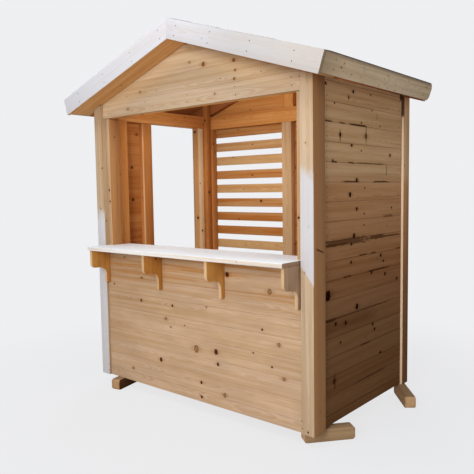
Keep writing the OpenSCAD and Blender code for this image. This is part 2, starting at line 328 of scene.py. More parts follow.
# %% [markdown]
# ## Knots
# A knot is a branch that the tree grew round. A dead one is a dark plug with a darker rim, a
# live one is reddish, and the grain bows round both. A cell texture would scatter knots at
# random over the joints. Here each face brings up to four of its own, and one small group
# turns the distance to a knot into masks. The second group runs it for all four and keeps the
# strongest.

# %% Helpers for groups
def open_group(name, kind, inputs, outputs):
    """A node group with named sockets, each given by its type or by its usual number."""
    tree = bpy.data.node_groups.new(name, kind)
    for way, sockets in (("OUTPUT", outputs), ("INPUT", inputs)):
        for label, given in sockets.items():
            number = {float: "Float", int: "Int"}.get(type(given))
            socket_type = "NodeSocket" + (number or given)
            socket = tree.interface.new_socket(label, in_out=way, socket_type=socket_type)
            if number:
                socket.default_value = given
    return tree, tree.nodes.new("NodeGroupInput").outputs, tree.nodes.new("NodeGroupOutput").inputs


def hand_out(tree, give, **values):
    """Links what a group has worked out to its outputs."""
    for label, value in values.items():
        tree.links.new(value, give[label])
    return tree


def vector_step(tree, operation, *vectors):
    """The result of one step of arithmetic with vectors."""
    return put(tree, "ShaderNodeVectorMath", {"operation": operation}, dict(enumerate(vectors))).outputs[0]


def parts_of(tree, vector):
    """The X, Y and Z of a vector."""
    return put(tree, "ShaderNodeSeparateXYZ", inputs={0: vector}).outputs


def attribute(tree, name):
    """What the mesh carries under this name."""
    return put(tree, "ShaderNodeAttribute", {"attribute_name": name}).outputs


def face_place(tree):
    """Where a point lies on its face, along and across the board."""
    return put(tree, "ShaderNodeUVMap", {"uv_map": "face"}).outputs["UV"]


def noise_at(tree, place, scale, detail):
    """Soft noise between 0 and 1."""
    settings = {"Vector": place, "Scale": scale, "Detail": detail}
    return put(tree, "ShaderNodeTexNoise", inputs=settings).outputs["Fac"]


def distance(tree, along, across):
    """How far away a point is that lies this far along and across."""
    squares = [product(tree, way, way) for way in (along, across)]
    return sum_of(tree, "SQRT", sum_of(tree, "ADD", *squares))


# %% Knot groups
MASKS = ("Core", "Rim", "Halo", "Push", "Live")

tree, get, give = open_group(
    "one_knot", "ShaderNodeTree",
    {"Place": "Vector", "Knot": "Vector", "Wander": 0.0},
    dict.fromkeys(MASKS, "Float"))
apart = parts_of(tree, vector_step(tree, "SUBTRACT", get["Place"], get["Knot"]))
signed = parts_of(tree, get["Knot"])["Z"]
radius = sum_of(tree, "MAXIMUM", sum_of(tree, "ABSOLUTE", signed), 0.0005)
there = sum_of(tree, "GREATER_THAN", radius, 0.001)


def reach(stretch):
    """Distance to the knot in radii, drawn out along the grain."""
    along = product(tree, apart["X"], stretch)
    return sum_of(tree, "DIVIDE", distance(tree, along, apart["Y"]), radius)


near = sum_of(tree, "ADD", reach(1.2), get["Wander"])
core = fade(tree, near, 1.5, 1.15)
rim = fade(tree, sum_of(tree, "ABSOLUTE", sum_of(tree, "SUBTRACT", near, 1.2)), 0.3, 0.06)
halo = fade(tree, sum_of(tree, "ADD", reach(0.5), get["Wander"]), 2.2, 0.9)
push = product(tree, apart["Y"], fade(tree, near, 3.6, 0.2, 0.0, 0.75))
live = product(tree, core, sum_of(tree, "LESS_THAN", signed, 0.0))
for label, mask in zip(MASKS, (core, rim, halo, push, live)):
    tree.links.new(product(tree, mask, there), give[label])
ONE_KNOT = tree

tree, get, give = open_group("face_knots", "ShaderNodeTree", {}, dict.fromkeys(MASKS, "Float"))
place = face_place(tree)
ragged = sum_of(tree, "MULTIPLY_ADD", noise_at(tree, place, 120.0, 3.0), 1.3, -0.65)
best = dict.fromkeys(MASKS, 0.0)
for layer in KNOT_LAYERS:
    knot = {"Place": place, "Knot": attribute(tree, layer)["Vector"], "Wander": ragged}
    masks = put(tree, "ShaderNodeGroup", {"node_tree": ONE_KNOT}, knot).outputs
    for label in MASKS:
        join = "ADD" if label == "Push" else "MAXIMUM"
        best[label] = sum_of(tree, join, best[label], masks[label])
FACE_KNOTS = hand_out(tree, give, **best)
print("knot groups:", ONE_KNOT.name, FACE_KNOTS.name)

# %% [markdown]
# ## Spruce
# Sawn spruce shows its years: wide pale bands of spring wood, each closed by a narrow band of
# darker summer wood. On a flat board they run as long lines and pointed arches, on its end as
# arcs. A picture of wood would repeat. So the group works out how far each point lies from the
# heart of a slightly crooked log, and turns that into years, with broad streaks and fine fibres
# on top. A second group mixes the colours, so that each finish only names its own.

# %% The figure of the grain
YEAR_WIDTH = 0.0042


def vector_of(tree, x=0.0, y=0.0, z=0.0):
    """A vector from its three parts."""
    return put(tree, "ShaderNodeCombineXYZ", inputs={0: x, 1: y, 2: z}).outputs[0]


tree, get, give = open_group(
    "spruce_figure", "ShaderNodeTree",
    {"Year Width": YEAR_WIDTH},
    dict.fromkeys(("Years", "Streak", "Fibre", "Core", "Rim", "Halo", "Live"), "Float"))
knots = put(tree, "ShaderNodeGroup", {"node_tree": FACE_KNOTS}).outputs
part = parts_of(tree, attribute(tree, "grain")["Vector"])
bowed = sum_of(tree, "SUBTRACT", part["Y"], knots["Push"])


def drawn_noise(along, across, detail, roughness=0.55):
    """Noise drawn out along the board."""
    ways = ((part["X"], along), (bowed, across), (part["Z"], across))
    drawn = vector_of(tree, *(product(tree, way, scale) for way, scale in ways))
    settings = {"Vector": drawn, "Scale": 1.0, "Detail": detail, "Roughness": roughness}
    return put(tree, "ShaderNodeTexNoise", inputs=settings).outputs["Fac"]


crooked = sum_of(tree, "MULTIPLY_ADD", drawn_noise(1.1, 2.5, 2.0), 0.07, -0.035)
from_heart = sum_of(tree, "ADD", distance(tree, bowed, part["Z"]), crooked)
from_heart = sum_of(tree, "ADD", from_heart, product(tree, part["X"], 0.004))
years = sum_of(tree, "DIVIDE", from_heart, get["Year Width"])
season = sum_of(tree, "FRACT", years)
vigour = put(tree, "ShaderNodeTexWhiteNoise", {"noise_dimensions": "1D"}, {"W": sum_of(tree, "FLOOR", years)})
strong = sum_of(tree, "MULTIPLY_ADD", vigour.outputs["Value"], 0.65, 0.35)
patchy = fade(tree, drawn_noise(0.7, 7.0, 1.0), 0.3, 0.7, 0.25, 1.0)
summer = product(tree, fade(tree, season, 0.25, 0.9), fade(tree, season, 1.0, 0.92), strong, patchy)
SPRUCE_FIGURE = hand_out(
    tree, give, Years=summer, Streak=drawn_noise(0.9, 34.0, 4.0, 0.6), Fibre=drawn_noise(14.0, 620.0, 2.0),
    Core=knots["Core"], Rim=knots["Rim"], Halo=knots["Halo"], Live=knots["Live"])
print("figure group:", SPRUCE_FIGURE.name)

# %% The colour of the wood
TINTS = ("Pale", "Deep", "Summer", "Halo", "Knot", "Arris")


def mixed(tree, share, first, second, blend="MIX"):
    """The first colour, with this share of the second."""
    options, inputs = {"data_type": "RGBA", "blend_type": blend}, {0: share, 6: first, 7: second}
    return put(tree, "ShaderNodeMix", options, inputs).outputs[2]


tree, get, give = open_group(
    "spruce_colour", "ShaderNodeTree",
    {**dict.fromkeys(TINTS, "Color"), "Year Width": YEAR_WIDTH, "Contrast": 0.5, "Spread": 0.6,
     "Arris Share": 0.3, "Smooth": 0.68},
    {"Color": "Color", **dict.fromkeys(("Roughness", "Height", "Years", "Streak"), "Float")})
figure = put(tree, "ShaderNodeGroup", {"node_tree": SPRUCE_FIGURE}, {"Year Width": get["Year Width"]}).outputs
board = parts_of(tree, attribute(tree, "board")["Vector"])
shade = product(tree, sum_of(tree, "SUBTRACT", board["X"], 0.5), get["Spread"])
shade = sum_of(tree, "ADD", shade, fade(tree, figure["Streak"], 0.30, 0.72))
wood = mixed(tree, sum_of(tree, "MULTIPLY_ADD", shade, 0.8, 0.05), get["Pale"], get["Deep"])
wood = mixed(tree, product(tree, figure["Years"], get["Contrast"]), wood, get["Summer"])
wood = mixed(tree, 0.35, wood, fade(tree, figure["Fibre"], 0.2, 0.8, 0.72, 1.12), "MULTIPLY")
wood = mixed(tree, product(tree, figure["Halo"], 0.26), wood, get["Halo"])
plug = sum_of(tree, "MULTIPLY_ADD", figure["Live"], -0.25, 0.97)
heart = mixed(tree, figure["Live"], get["Knot"], get["Halo"])
wood = mixed(tree, product(tree, figure["Core"], plug), wood, heart)
rim = product(tree, figure["Rim"], sum_of(tree, "MULTIPLY_ADD", figure["Live"], -0.2, 0.7))
wood = mixed(tree, rim, wood, get["Knot"])
wood = mixed(tree, product(tree, board["Y"], 0.4), wood, get["Summer"])
broken = product(tree, fade(tree, figure["Streak"], 0.25, 0.7, 0.35, 1.0), get["Arris Share"])
wood = mixed(tree, product(tree, attribute(tree, "arris")["Fac"], broken), wood, get["Arris"])
rough = sum_of(tree, "ADD", get["Smooth"], fade(tree, figure["Fibre"], 0.2, 0.8, -0.06, 0.1))
raised = product(tree, sum_of(tree, "ADD", figure["Years"], figure["Fibre"]), 0.5)
raised = sum_of(tree, "SUBTRACT", raised, product(tree, figure["Rim"], 0.9))
SPRUCE_COLOUR = hand_out(tree, give, Color=wood, Roughness=rough, Height=raised, Years=figure["Years"],
                         Streak=figure["Streak"])
print("colour group:", SPRUCE_COLOUR.name)

# %% [markdown]
# ## Finishes
# All of the hut is spruce, but no two faces of it look alike: planed and pale in front, browner on the
# side, partly by painted shade, warm and orange inside where no rain falls. Each finish is one material
# with its own colours for the same groups. Some change the colour once more by its place on the hut,
# before it meets the surface shader, which sits outside the groups. Several paint light or shade:
# paler copies for faces that meet the light, darker ones for faces in shade.

# %% Make a spruce finish
def colour(code):
    """A colour written as six hex digits, as the linear values that nodes take."""
    parts = [int(code[i : i + 2], 16) / 255 for i in (0, 2, 4)]
    return tuple(v / 12.92 if v < 0.04045 else ((v + 0.055) / 1.055) ** 2.4 for v in parts) + (1.0,)


def bumped(tree, strength, lift, height):
    """Normals that follow a height."""
    settings = {"Strength": strength, "Distance": lift, "Height": height}
    return put(tree, "ShaderNodeBump", inputs=settings).outputs[0]


def skin(tree, inputs):
    """The surface in which a finish ends."""
    shader = put(tree, "ShaderNodeBsdfPrincipled", inputs=inputs)
    put(tree, "ShaderNodeOutputMaterial", inputs={"Surface": shader.outputs[0]})


def spruce(name, pale, deep, summer, halo="96582e", knot="42200a", arris="8a6038",
           contrast=0.5, spread=0.6, arris_share=0.3, shine=0.04, change=None):
    """A finish with its own tints. change may work on the colour that the groups give."""
    made, tree = open_material(name)
    codes = (pale, deep, summer, halo, knot, arris)
    settings = {label: colour(code) for label, code in zip(TINTS, codes)}
    settings |= {"Contrast": contrast, "Spread": spread, "Arris Share": arris_share}
    wood = put(tree, "ShaderNodeGroup", {"node_tree": SPRUCE_COLOUR}, settings).outputs
    skin(tree, {"Base Color": change(tree, wood) if change else wood["Color"],
                "Roughness": wood["Roughness"], "Specular IOR Level": shine,
                "Normal": bumped(tree, 0.35, 0.0012, wood["Height"])})
    return made


# %% Finishes of the front and the frame
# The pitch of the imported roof, and how far it falls on each metre.
PITCH = math.radians(18.4)
FALL = math.tan(PITCH)


def object_axes(tree):
    """How far right, back and up a point lies."""
    return parts_of(tree, object_place(tree))


def front_cloud_and_shade(tree, wood):
    """Cloudy boards, with painted shade on the left end. Just below the counter they get darker orange
    streaks, partly grain and partly painted shade of the counter.
    """
    axes = object_axes(tree)
    drawn = vector_of(tree, axes["X"], product(tree, axes["Z"], 2.5))
    cloud = fade(tree, noise_at(tree, drawn, 3.0, 2.0), 0.35, 0.65, 0.95, 1.05)
    wall = mixed(tree, 1.0, wood["Color"], cloud, "MULTIPLY")
    # Painted shade: the left end of the front is darkened.
    wall = mixed(tree, fade(tree, axes["X"], -0.2, -0.85), wall, (0.91, 0.89, 0.86, 1.0), "MULTIPLY")
    # Darker orange streaks below the counter: partly grain, partly painted shade of the counter.
    streaks = fade(tree, wood["Streak"], 0.44, 0.60, 0.04, 0.62)
    dry = product(tree, fade(tree, axes["Z"], 0.74, 1.0), streaks)
    return mixed(tree, dry, wall, (1.02, 0.63, 0.26, 1.0), "MULTIPLY")


def lit_under_roof(tree, wood):
    """Painted light: the gable is made paler close to the roof, against the shade of the overhang."""
    axes = object_axes(tree)
    roof = sum_of(tree, "MULTIPLY_ADD", sum_of(tree, "ABSOLUTE", axes["X"]), FALL, axes["Z"])
    near = product(tree, fade(tree, roof, 2.26, 2.44), fade(tree, axes["X"], 0.85, 0.5, 0.4, 1.0))
    return mixed(tree, near, wood["Color"], (1.32, 1.28, 1.17, 1.0), "MULTIPLY")


PLANED = {"summer": "946a3e", "halo": "845628", "contrast": 0.42, "spread": 0.7}
front_spruce = spruce("front_spruce", "c4a68a", "b08d64", **PLANED)
sheltered_spruce = spruce("sheltered_spruce", "c4a68a", "b08d64", **PLANED, arris_share=0.45,
                          change=front_cloud_and_shade)
# The gable's own finish is a little greyer than the front's: painted shade against the stronger light there.
gable_spruce = spruce("gable_spruce", "bda78f", "a98d6b", **PLANED, knot="744822", change=lit_under_roof)
inner_spruce = spruce("inner_spruce", "c4874c", "aa6430", "945226", "6e3a18", spread=0.8)
frame_spruce = spruce("frame_spruce", "e6ae68", "d28846", "be7034", "8c4c22", spread=0.8)
slat_spruce = spruce("slat_spruce", "d0a976", "b47236", "a0602a", "8c4c22", contrast=0.45, spread=1.7)
stile_spruce = spruce("stile_spruce", "d6b792", "c09c72", "ac8256", contrast=0.45)
clear_spruce = spruce("clear_spruce", "f6deb4", "eacc9c", "d6b07c", contrast=0.4)
golden_spruce = spruce("golden_spruce", "c49161", "b07b46", "945d2c", contrast=0.42, spread=0.7)
under_spruce = spruce("under_spruce", "ae6d3f", "975329", "80431f", spread=0.8)
soffit_spruce = spruce("soffit_spruce", "deae74", "ca9058", "b47a42", contrast=0.45)
bracket_spruce = spruce("bracket_spruce", "c48c4a", "b07436", "9c622a", contrast=0.35, spread=1.1)
# A grey-brown copy of the wood for painted shade: the far right bracket and the right end of the counter.
greyed_spruce = spruce("greyed_spruce", "b2947a", "9e7e64", "8a6a50", contrast=0.35)
print("finishes:", [m.name for m in bpy.data.materials if m.name.endswith("spruce")])

# %% Finishes of the jamb, the eaves and the feet
def lit_inner_edge(tree, wood):
    """Orange wood with a pale strip along its inner edge, painted light where the hatch lets light in."""
    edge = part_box("door_front_jamb")[1].x
    inner = fade(tree, object_axes(tree)["X"], edge - 0.022, edge - 0.014)
    return mixed(tree, inner, wood["Color"], colour("cca074"))


def eave_worn_and_shaded(tree, wood):
    """Dark specks, a dark band along the upper edge, and a front end darkened as painted shade."""
    place = face_place(tree)
    specks = fade(tree, noise_at(tree, place, 42.0, 2.0), 0.64, 0.72, 0.0, 0.75)
    dark = sum_of(tree, "MAXIMUM", fade(tree, parts_of(tree, place)["Y"], 0.090, 0.112, 0.0, 0.6), specks)
    # Painted shade: the front end, next to the barge board, is darkened.
    dark = sum_of(tree, "MAXIMUM", dark, fade(tree, object_axes(tree)["Y"], -0.40, -0.72, 0.0, 0.45))
    return mixed(tree, dark, wood["Color"], colour("64523e"))


jamb_spruce = spruce("jamb_spruce", "c4874c", "aa6430", "945226", change=lit_inner_edge)
fascia_spruce = spruce("fascia_spruce", "d4bea2", "b8a080", "9c8260", arris="5e4e3c", contrast=0.35,
                       arris_share=0.8, change=eave_worn_and_shaded)
foot_spruce = spruce("foot_spruce", "ac8e6c", "967656", "7e5e42", contrast=0.45)
# A dark finish that paints shade: the underside of the fascia and the side of the front left foot under the
# hut.
damp_spruce = spruce("damp_spruce", "523624", "402814", "30200e", contrast=0.45)
print("more finishes:", [m.name for m in (jamb_spruce, fascia_spruce, foot_spruce, damp_spruce)])

# %% [markdown]
# ## The weathered and shaded side
# The right wall has stood in rain. It is brown and darker towards the ground, partly from the weather and
# partly painted shade. Water has left dark marks where it soaked in: along some joints, in one broad
# streak at the height of the counter, and at the ends of a few boards. The long dark lines where the
# boards meet the posts, and the dark corner under the rear of the eave, are painted shadow. The
# paler wood under the eave is painted light against the eave's shade. Noise alone would spread such
# marks evenly. So a small group makes one mark from its place and size, with a ragged edge, and the
# wall sets it where the photograph has one. All places are measured along the wall and from the ground.

# %% One mark
tree, get, give = open_group(
    "one_stain", "ShaderNodeTree",
    {**dict.fromkeys(("Place", "Middle", "Reach"), "Vector"), "Ragged": 0.0, "Strength": 0.6},
    {"Dark": "Float"})
apart = vector_step(tree, "SUBTRACT", get["Place"], get["Middle"])
apart = vector_step(tree, "ABSOLUTE", vector_step(tree, "DIVIDE", apart, get["Reach"]))
apart = parts_of(tree, apart)
tips = fade(tree, sum_of(tree, "ADD", apart["X"], get["Ragged"]), 1.1, 0.65)
sides = fade(tree, sum_of(tree, "ADD", apart["Y"], get["Ragged"]), 1.3, 0.55)
ONE_DARK_MARK = hand_out(tree, give, Dark=product(tree, tips, sides, get["Strength"]))
print("mark group:", ONE_DARK_MARK.name)


def dark_mark(tree, place, along, height, long, high, strength, ragged=0.0):
    """How dark one mark is at each point, from its middle, half its size and its strength."""
    mark = {"Place": place, "Middle": (along, height, 0.0), "Reach": (long, high, 1.0),
            "Ragged": ragged, "Strength": strength}
    return put(tree, "ShaderNodeGroup", {"node_tree": ONE_DARK_MARK}, mark).outputs["Dark"]


# %% Weathered and shaded finish
# Most are stains. The long lines beside the posts, at -0.408 and 0.618 along the wall, and the dark corner at
# 0.605 under the rear of the eave, are painted shadow.
STAINS_AND_SHADOWS = [  # along the wall, height, half length, half height, strength
    (-0.36, 1.902, 0.050, 0.006, 0.7), (-0.20, 1.902, 0.035, 0.006, 0.6), (0.00, 1.902, 0.120, 0.006, 0.9),
    (-0.29, 1.668, 0.035, 0.006, 0.8), (-0.09, 1.668, 0.045, 0.006, 0.8), (0.16, 1.668, 0.200, 0.005, 0.6),
    (-0.09, 1.552, 0.110, 0.006, 0.8), (0.31, 1.552, 0.120, 0.006, 0.8), (0.42, 1.320, 0.075, 0.009, 0.5),
    (-0.15, 1.186, 0.300, 0.022, 0.70), (0.26, 1.187, 0.110, 0.015, 0.72), (0.35, 1.183, 0.280, 0.007, 0.75),
    (0.06, 1.085, 0.060, 0.006, 0.7), (0.20, 1.085, 0.040, 0.006, 0.7), (0.58, 1.085, 0.035, 0.006, 0.7),
    (-0.14, 0.968, 0.050, 0.007, 0.6), (0.28, 0.968, 0.160, 0.006, 0.8), (-0.34, 0.727, 0.080, 0.011, 0.8),
    (0.01, 0.727, 0.440, 0.005, 0.6), (-0.16, 0.685, 0.420, 0.060, 0.25), (0.10, 0.497, 0.070, 0.006, 0.6),
    (0.16, 0.265, 0.220, 0.006, 0.5), (-0.223, 1.825, 0.007, 0.036, 0.7), (0.100, 1.850, 0.007, 0.058, 0.7),
    (0.388, 1.632, 0.008, 0.036, 0.5), (-0.29, 0.343, 0.012, 0.045, 0.5), (0.605, 2.145, 0.020, 0.030, 0.9),
    (0.618, 1.870, 0.007, 0.300, 0.8), (0.618, 0.850, 0.006, 0.750, 0.5), (-0.26, 1.175, 0.170, 0.007, 0.85),
    (-0.408, 1.150, 0.008, 0.950, 0.45), (-0.125, 2.057, 0.005, 0.022, 0.5),
    (0.247, 1.978, 0.005, 0.024, 0.45)]


def weathered_and_shaded(tree, wood):
    """Brown wood that darkens to the ground, partly painted shade, with painted light under the eave and the
    marks of the right wall, some of them painted shadow.
    """
    axes = object_axes(tree)
    place = vector_of(tree, axes["Y"], axes["Z"])
    drawn = vector_of(tree, axes["Y"], product(tree, axes["Z"], 7.0))
    ragged = sum_of(tree, "MULTIPLY_ADD", noise_at(tree, drawn, 22.0, 4.0), 1.5, -0.75)
    dark = 0.0
    for mark in STAINS_AND_SHADOWS:
        dark = sum_of(tree, "MAXIMUM", dark_mark(tree, place, *mark, ragged), dark)
    below = fade(tree, axes["Z"], 1.62, 1.50)
    warm = product(tree, below, fade(tree, axes["Z"], 0.45, 0.95, 0.0, 0.42))
    # Darker towards the ground: partly damp, partly painted shade.
    damp_and_shade = fade(tree, axes["Z"], 1.95, 0.35, 0.0, 0.86)
    # Painted light: paler under the eave, against the eave's shade.
    wall = mixed(tree, fade(tree, axes["Z"], 1.94, 2.10), wood["Color"], (1.22, 1.20, 1.18, 1.0), "MULTIPLY")
    wall = mixed(tree, warm, wall, colour("daa069"), "MULTIPLY")
    wall = mixed(tree, damp_and_shade, wall, colour("6f5030"), "MULTIPLY")
    return mixed(tree, dark, wall, colour("321300"))


# The side's browner tints are partly painted shade of a wall turned away from the light.
side_spruce = spruce("side_spruce", "d2ae86", "ba9066", "946e46", "5e3416", "2a1206", "301a0a",
                     contrast=0.28, spread=0.7, arris_share=0.6, shine=0.0, change=weathered_and_shaded)
print("weathered:", side_spruce.name, "marks:", len(STAINS_AND_SHADOWS))

# %% [markdown]
# ## White wood and painted sunlight
# The counter top is white of its own, and painted sunlight whitens it further, as it whitens the barge
# boards and the fronts of both posts. Plain white would hide the wood, so the white is mixed in by the
# grain itself, strongest in the soft spring wood with the summer lines showing. On the posts it lies only
# where sunlight would fall: below a ragged edge, the painted edge of the roof's shadow, and on the
# right one above a slant, the painted edge of the counter's shadow.

# %% Painted sunlight on barge boards and counter
SUN_WHITE, THIN_SUN_WHITE, SUNLIT_COUNTER_WHITE = colour("c9cad2"), colour("b6b8bf"), colour("f4f9ff")


def sunlit_white(tree, wood):
    """Painted sunlight on the barge boards: white mixed in by the grain, greyer and thinner towards the right
    eave.
    """
    right = object_axes(tree)["X"]
    thin = fade(tree, wood["Years"], 0.0, 0.8, 0.95, 0.60)
    streaked = fade(tree, wood["Streak"], 0.35, 0.75, 1.0, 0.84)
    # Painted sunlight: how much white the barge boards take.
    share = product(tree, thin, streaked, fade(tree, right, 0.30, 1.10, 1.0, 0.74))
    return mixed(tree, share, wood["Color"], mixed(tree, fade(tree, right, 0.1, 0.6), SUN_WHITE, THIN_SUN_WHITE))


def counter_white_and_sunlit(tree, wood):
    """The counter's white top, made brighter as painted sunlight, and only a thin rest of white on the edge.
    """
    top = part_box("counter")[1].z
    rest = fade(tree, wood["Streak"], 0.35, 0.65, 0.48, 0.24)
    where = sum_of(tree, "MAXIMUM", fade(tree, object_axes(tree)["Z"], top - 0.0030, top - 0.0012), rest)
    share = product(tree, where, fade(tree, wood["Years"], 0.0, 0.8, 1.0, 0.9))
    return mixed(tree, share, wood["Color"], SUNLIT_COUNTER_WHITE)


pale_spruce = spruce("pale_spruce", "d9c4a8", "c2a685", "b09070", "c8b49c", "8a7668", "cfc6be",
                     contrast=0.6, arris_share=0.5, change=sunlit_white)
counter_spruce = spruce("counter_spruce", "dccab4", "c8b098", "b4967a", "d8c8b8", "a89a90", "d8d2cc",
                        arris_share=0.5, change=counter_white_and_sunlit)
print("limed:", pale_spruce.name, counter_spruce.name)

# %% Finishes of the posts
def post_sunlit_and_shaded(tree, wood):
    """Painted sunlight as white on the front of the posts only, and painted shade as a brown right side, with
    one split.
    """
    low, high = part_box("front_right_post")
    axes = object_axes(tree)
    front = fade(tree, axes["Y"], low.y + 0.0040, low.y + 0.0020)
    side = fade(tree, axes["X"], high.x - 0.0025, high.x - 0.0005)
    ragged = sum_of(tree, "MULTIPLY_ADD", noise_at(tree, object_place(tree), 14.0, 3.0), 0.16, -0.08)
    height = sum_of(tree, "ADD", axes["Z"], ragged)
    slant = sum_of(tree, "MULTIPLY_ADD", axes["X"], 1.25, axes["Z"])
    # Painted sunlight on the right post: below the painted edge of the roof's shadow and above the slanting
    # edge of the counter's shadow.
    on_right = product(tree, fade(tree, axes["X"], 0.0, 0.1), fade(tree, slant, 2.195, 2.215),
                       fade(tree, height, 1.66, 1.54))
    # Painted sunlight on the left post, below the painted edge of the roof's shadow.
    on_left = product(tree, fade(tree, axes["X"], 0.0, -0.1), fade(tree, height, 1.40, 1.28))
    thin = fade(tree, wood["Years"], 0.0, 0.9, 0.78, 0.6)
    share = product(tree, sum_of(tree, "ADD", on_right, on_left), front, thin)
    # Painted shade: the right side of the right post is browned.
    brown = mixed(tree, product(tree, side, 0.8), wood["Color"], colour("94602f"))
    sloping = vector_of(tree, axes["Y"], sum_of(tree, "MULTIPLY_ADD", axes["Y"], 0.33, axes["Z"]))
    split = dark_mark(tree, sloping, -0.477, 1.0006, 0.042, 0.0055, 0.85)
    brown = mixed(tree, product(tree, split, side), brown, colour("2a1204"))
    return mixed(tree, share, brown, SUN_WHITE)


def eave_shadowed_top(tree, wood):
    """Painted light and shadow: pale wood, as lit from the front, with a dark upper end painted as the eave's
    shadow.
    """
    eave_shadow = fade(tree, object_axes(tree)["Z"], 1.99, 2.02, 0.0, 0.92)
    return mixed(tree, eave_shadow, wood["Color"], colour("4a2810"))


post_spruce = spruce("post_spruce", "c8b096", "ac8e6a", "98764e", spread=0.8, change=post_sunlit_and_shaded)
step_spruce = spruce("step_spruce", "f4d6b8", "e6c4a0", "d2a880", contrast=0.4, change=eave_shadowed_top)
print("posts:", post_spruce.name, step_spruce.name)

# %% [markdown]
# ## Laying boards
# The walls, the slopes of the roof and the slatted panel are all the same work: boards of one
# width, one above the other, ripped to fit at the bottom and the top and cut to the slope in a
# gable. An Array modifier could repeat a board but not cut it. A Geometry Nodes tree does
# both: it stands a block on each point of a line, lets each lie a hair in or out, and then
# clamps the corners to the edges of the panel.

# %% The tree that lays boards
# A strip at the top that is narrower than this isn't laid: the board below it is left wider.
SLIVER_SHARE, SLIVER_HEIGHT = 0.16, 0.019


def stray_of(tree, most, seed):
    """A random vector between the opposite of this one and this one."""
    limits = {0: vector_step(tree, "MULTIPLY", most, (-1.0, -1.0, -1.0)), 1: most, "Seed": seed}
    return put(tree, "FunctionNodeRandomValue", {"data_type": "FLOAT_VECTOR"}, limits).outputs[0]


tree, get, give = open_group(
    "board_laying", "GeometryNodeTree",
    {"Geometry": "Geometry", "Length": 1.0, "Thickness": 0.018, "Pitch": 0.117, "Gap": 0.0,
     "First Joint": 0.117, "Bottom": 0.0, "Top": 1.0, "Ridge": 100.0, "Fall": FALL, "Wander": 0.0004,
     "Tilt": 0.0, "Seed": 1, "Material": "Material"},
    {"Geometry": "Geometry"})
height = sum_of(tree, "SUBTRACT", get["Pitch"], get["Gap"])
courses = sum_of(tree, "DIVIDE", sum_of(tree, "SUBTRACT", get["Top"], get["First Joint"]), get["Pitch"])
courses = sum_of(tree, "ADD", sum_of(tree, "CEIL", sum_of(tree, "SUBTRACT", courses, SLIVER_SHARE)), 1.0)
lowest = sum_of(tree, "SUBTRACT", get["First Joint"], get["Pitch"])
lowest = sum_of(tree, "ADD", lowest, product(tree, height, 0.5))
line = put(tree, "GeometryNodeMeshLine", inputs={
    "Count": courses, "Start Location": vector_of(tree, z=lowest), "Offset": vector_of(tree, z=get["Pitch"])})


def jitter(name, seed_step):
    """A small random vector along the depth of the wall, different for each board."""
    return stray_of(tree, vector_of(tree, y=get[name]), sum_of(tree, "ADD", get["Seed"], seed_step))


points = put(tree, "GeometryNodeSetPosition", inputs={
    "Geometry": line.outputs[0], "Offset": jitter("Wander", 0.0)})
block = put(tree, "GeometryNodeMeshCube", inputs={
    "Size": vector_of(tree, get["Length"], get["Thickness"], height)})
lean = put(tree, "FunctionNodeEulerToRotation", inputs={0: jitter("Tilt", 50.0)})
laid = put(tree, "GeometryNodeInstanceOnPoints", inputs={
    "Points": points.outputs[0], "Instance": block.outputs[0], "Rotation": lean.outputs[0]})
laid = put(tree, "GeometryNodeRealizeInstances", inputs={0: laid.outputs[0]})
at = parts_of(tree, put(tree, "GeometryNodeInputPosition").outputs[0])
rise = sum_of(tree, "MAXIMUM", at["Z"], get["Bottom"])
over = sum_of(tree, "GREATER_THAN", rise, sum_of(tree, "SUBTRACT", get["Top"], SLIVER_HEIGHT))
rise = put(tree, "ShaderNodeMix", inputs={0: over, 2: rise, 3: get["Top"]}).outputs[0]
half = sum_of(tree, "DIVIDE", sum_of(tree, "SUBTRACT", get["Ridge"], rise), get["Fall"])
cut = sum_of(tree, "MAXIMUM", sum_of(tree, "MINIMUM", at["X"], half), product(tree, half, -1.0))
inward = sum_of(tree, "ADD", at["Y"], product(tree, get["Thickness"], 0.5))
fitted = put(tree, "GeometryNodeSetPosition", inputs={
    "Geometry": laid.outputs[0], "Position": vector_of(tree, cut, inward, rise)})
named = put(tree, "GeometryNodeSetMaterial", inputs={
    "Geometry": fitted.outputs[0], "Material": get["Material"]})
BOARD_LAYING = hand_out(tree, give, Geometry=named.outputs[0])
print("board tree:", len(tree.nodes), "nodes")

# %% [markdown]
# ## From tree to piece
# A tree's result is only a view of an object until it is made a mesh. One helper runs a tree
# with its inputs and returns the mesh. Another takes the sharpness off the edges: no sawn edge
# is perfectly sharp, and the narrow chamfers of two boards that meet make the V of the joint.
# The chamfers are marked, so that a finish can darken a joint or pale a worn corner.

# %% Run a tree, soften edges, hand over a piece
# Edges sharper than the first are softened, and those sharper than the second are shaded as edges.
SHARP, ROUND = math.radians(30.0), math.radians(24.0)


def grown(tree, start=None, **inputs):
    """The mesh that a tree makes, with its named inputs set by their identifiers."""
    base = bpy.data.objects.new("growing", start or bpy.data.meshes.new("growing"))
    bpy.context.scene.collection.objects.link(base)
    modifier = base.modifiers.new("growing", "NODES")
    modifier.node_group = tree
    sockets = {s.name: s.identifier for s in tree.interface.items_tree if s.in_out == "INPUT"}
    for name, value in inputs.items():
        modifier[sockets[name.replace("_", " ")]] = value
    bpy.context.view_layer.update()
    mesh = bpy.data.meshes.new_from_object(base.evaluated_get(bpy.context.evaluated_depsgraph_get()))
    bpy.data.objects.remove(base)
    return mesh


